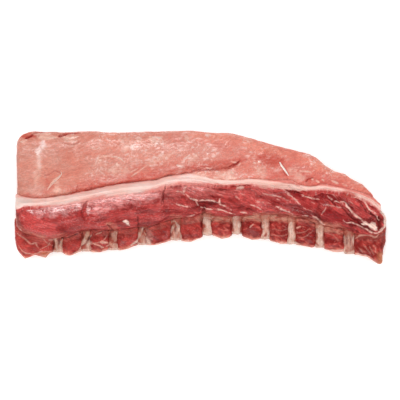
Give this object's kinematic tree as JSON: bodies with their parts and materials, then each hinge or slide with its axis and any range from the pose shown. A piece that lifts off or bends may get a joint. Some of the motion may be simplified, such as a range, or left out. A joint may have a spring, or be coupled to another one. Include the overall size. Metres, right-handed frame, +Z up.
{
  "type": "raw rack of ribs",
  "caption": "Raw rack of meaty pork back ribs lying bone side down, with a pale loin, a dark cap muscle, a band of fat between them, and rib ends showing in front.",
  "frame": {"origin": "the middle of the rack's box, on the surface it lies on", "axes": "+X along the rack towards its narrow end, +Y across it from the rib ends to the loin, +Z up"},
  "size_m": [0.3835, 0.1377, 0.0427],
  "materials": {
    "dark_meat": "moist, fibrous dark red muscle with white streaks of fat",
    "pale_meat": "moist, silvery pale pink muscle",
    "rib_meat": "moist, coarse-fibred dark red rib meat",
    "fat": "waxy cream-white fat with a pink tinge",
    "bone": "pale pinkish-grey bone under a thin skin"
  },
  "bodies": {
    "root": {"cap_muscle": "dark_meat", "loin": "pale_meat", "seam_fat": "fat", "rib_bone_01": "bone", "rib_bone_02": "bone", "rib_bone_03": "bone", "rib_bone_04": "bone", "rib_bone_05": "bone", "rib_bone_06": "bone", "rib_bone_07": "bone", "rib_bone_08": "bone", "rib_bone_09": "bone", "rib_bone_10": "bone", "rib_bone_11": "bone", "rib_meat_01": "rib_meat", "rib_meat_02": "rib_meat", "rib_meat_03": "rib_meat", "rib_meat_04": "rib_meat", "rib_meat_05": "rib_meat", "rib_meat_06": "rib_meat", "rib_meat_07": "rib_meat", "rib_meat_08": "rib_meat", "rib_meat_09": "rib_meat", "rib_meat_10": "rib_meat", "rib_meat_11": "rib_meat", "rib_meat_12": "rib_meat"}
  },
  "joints": []
}
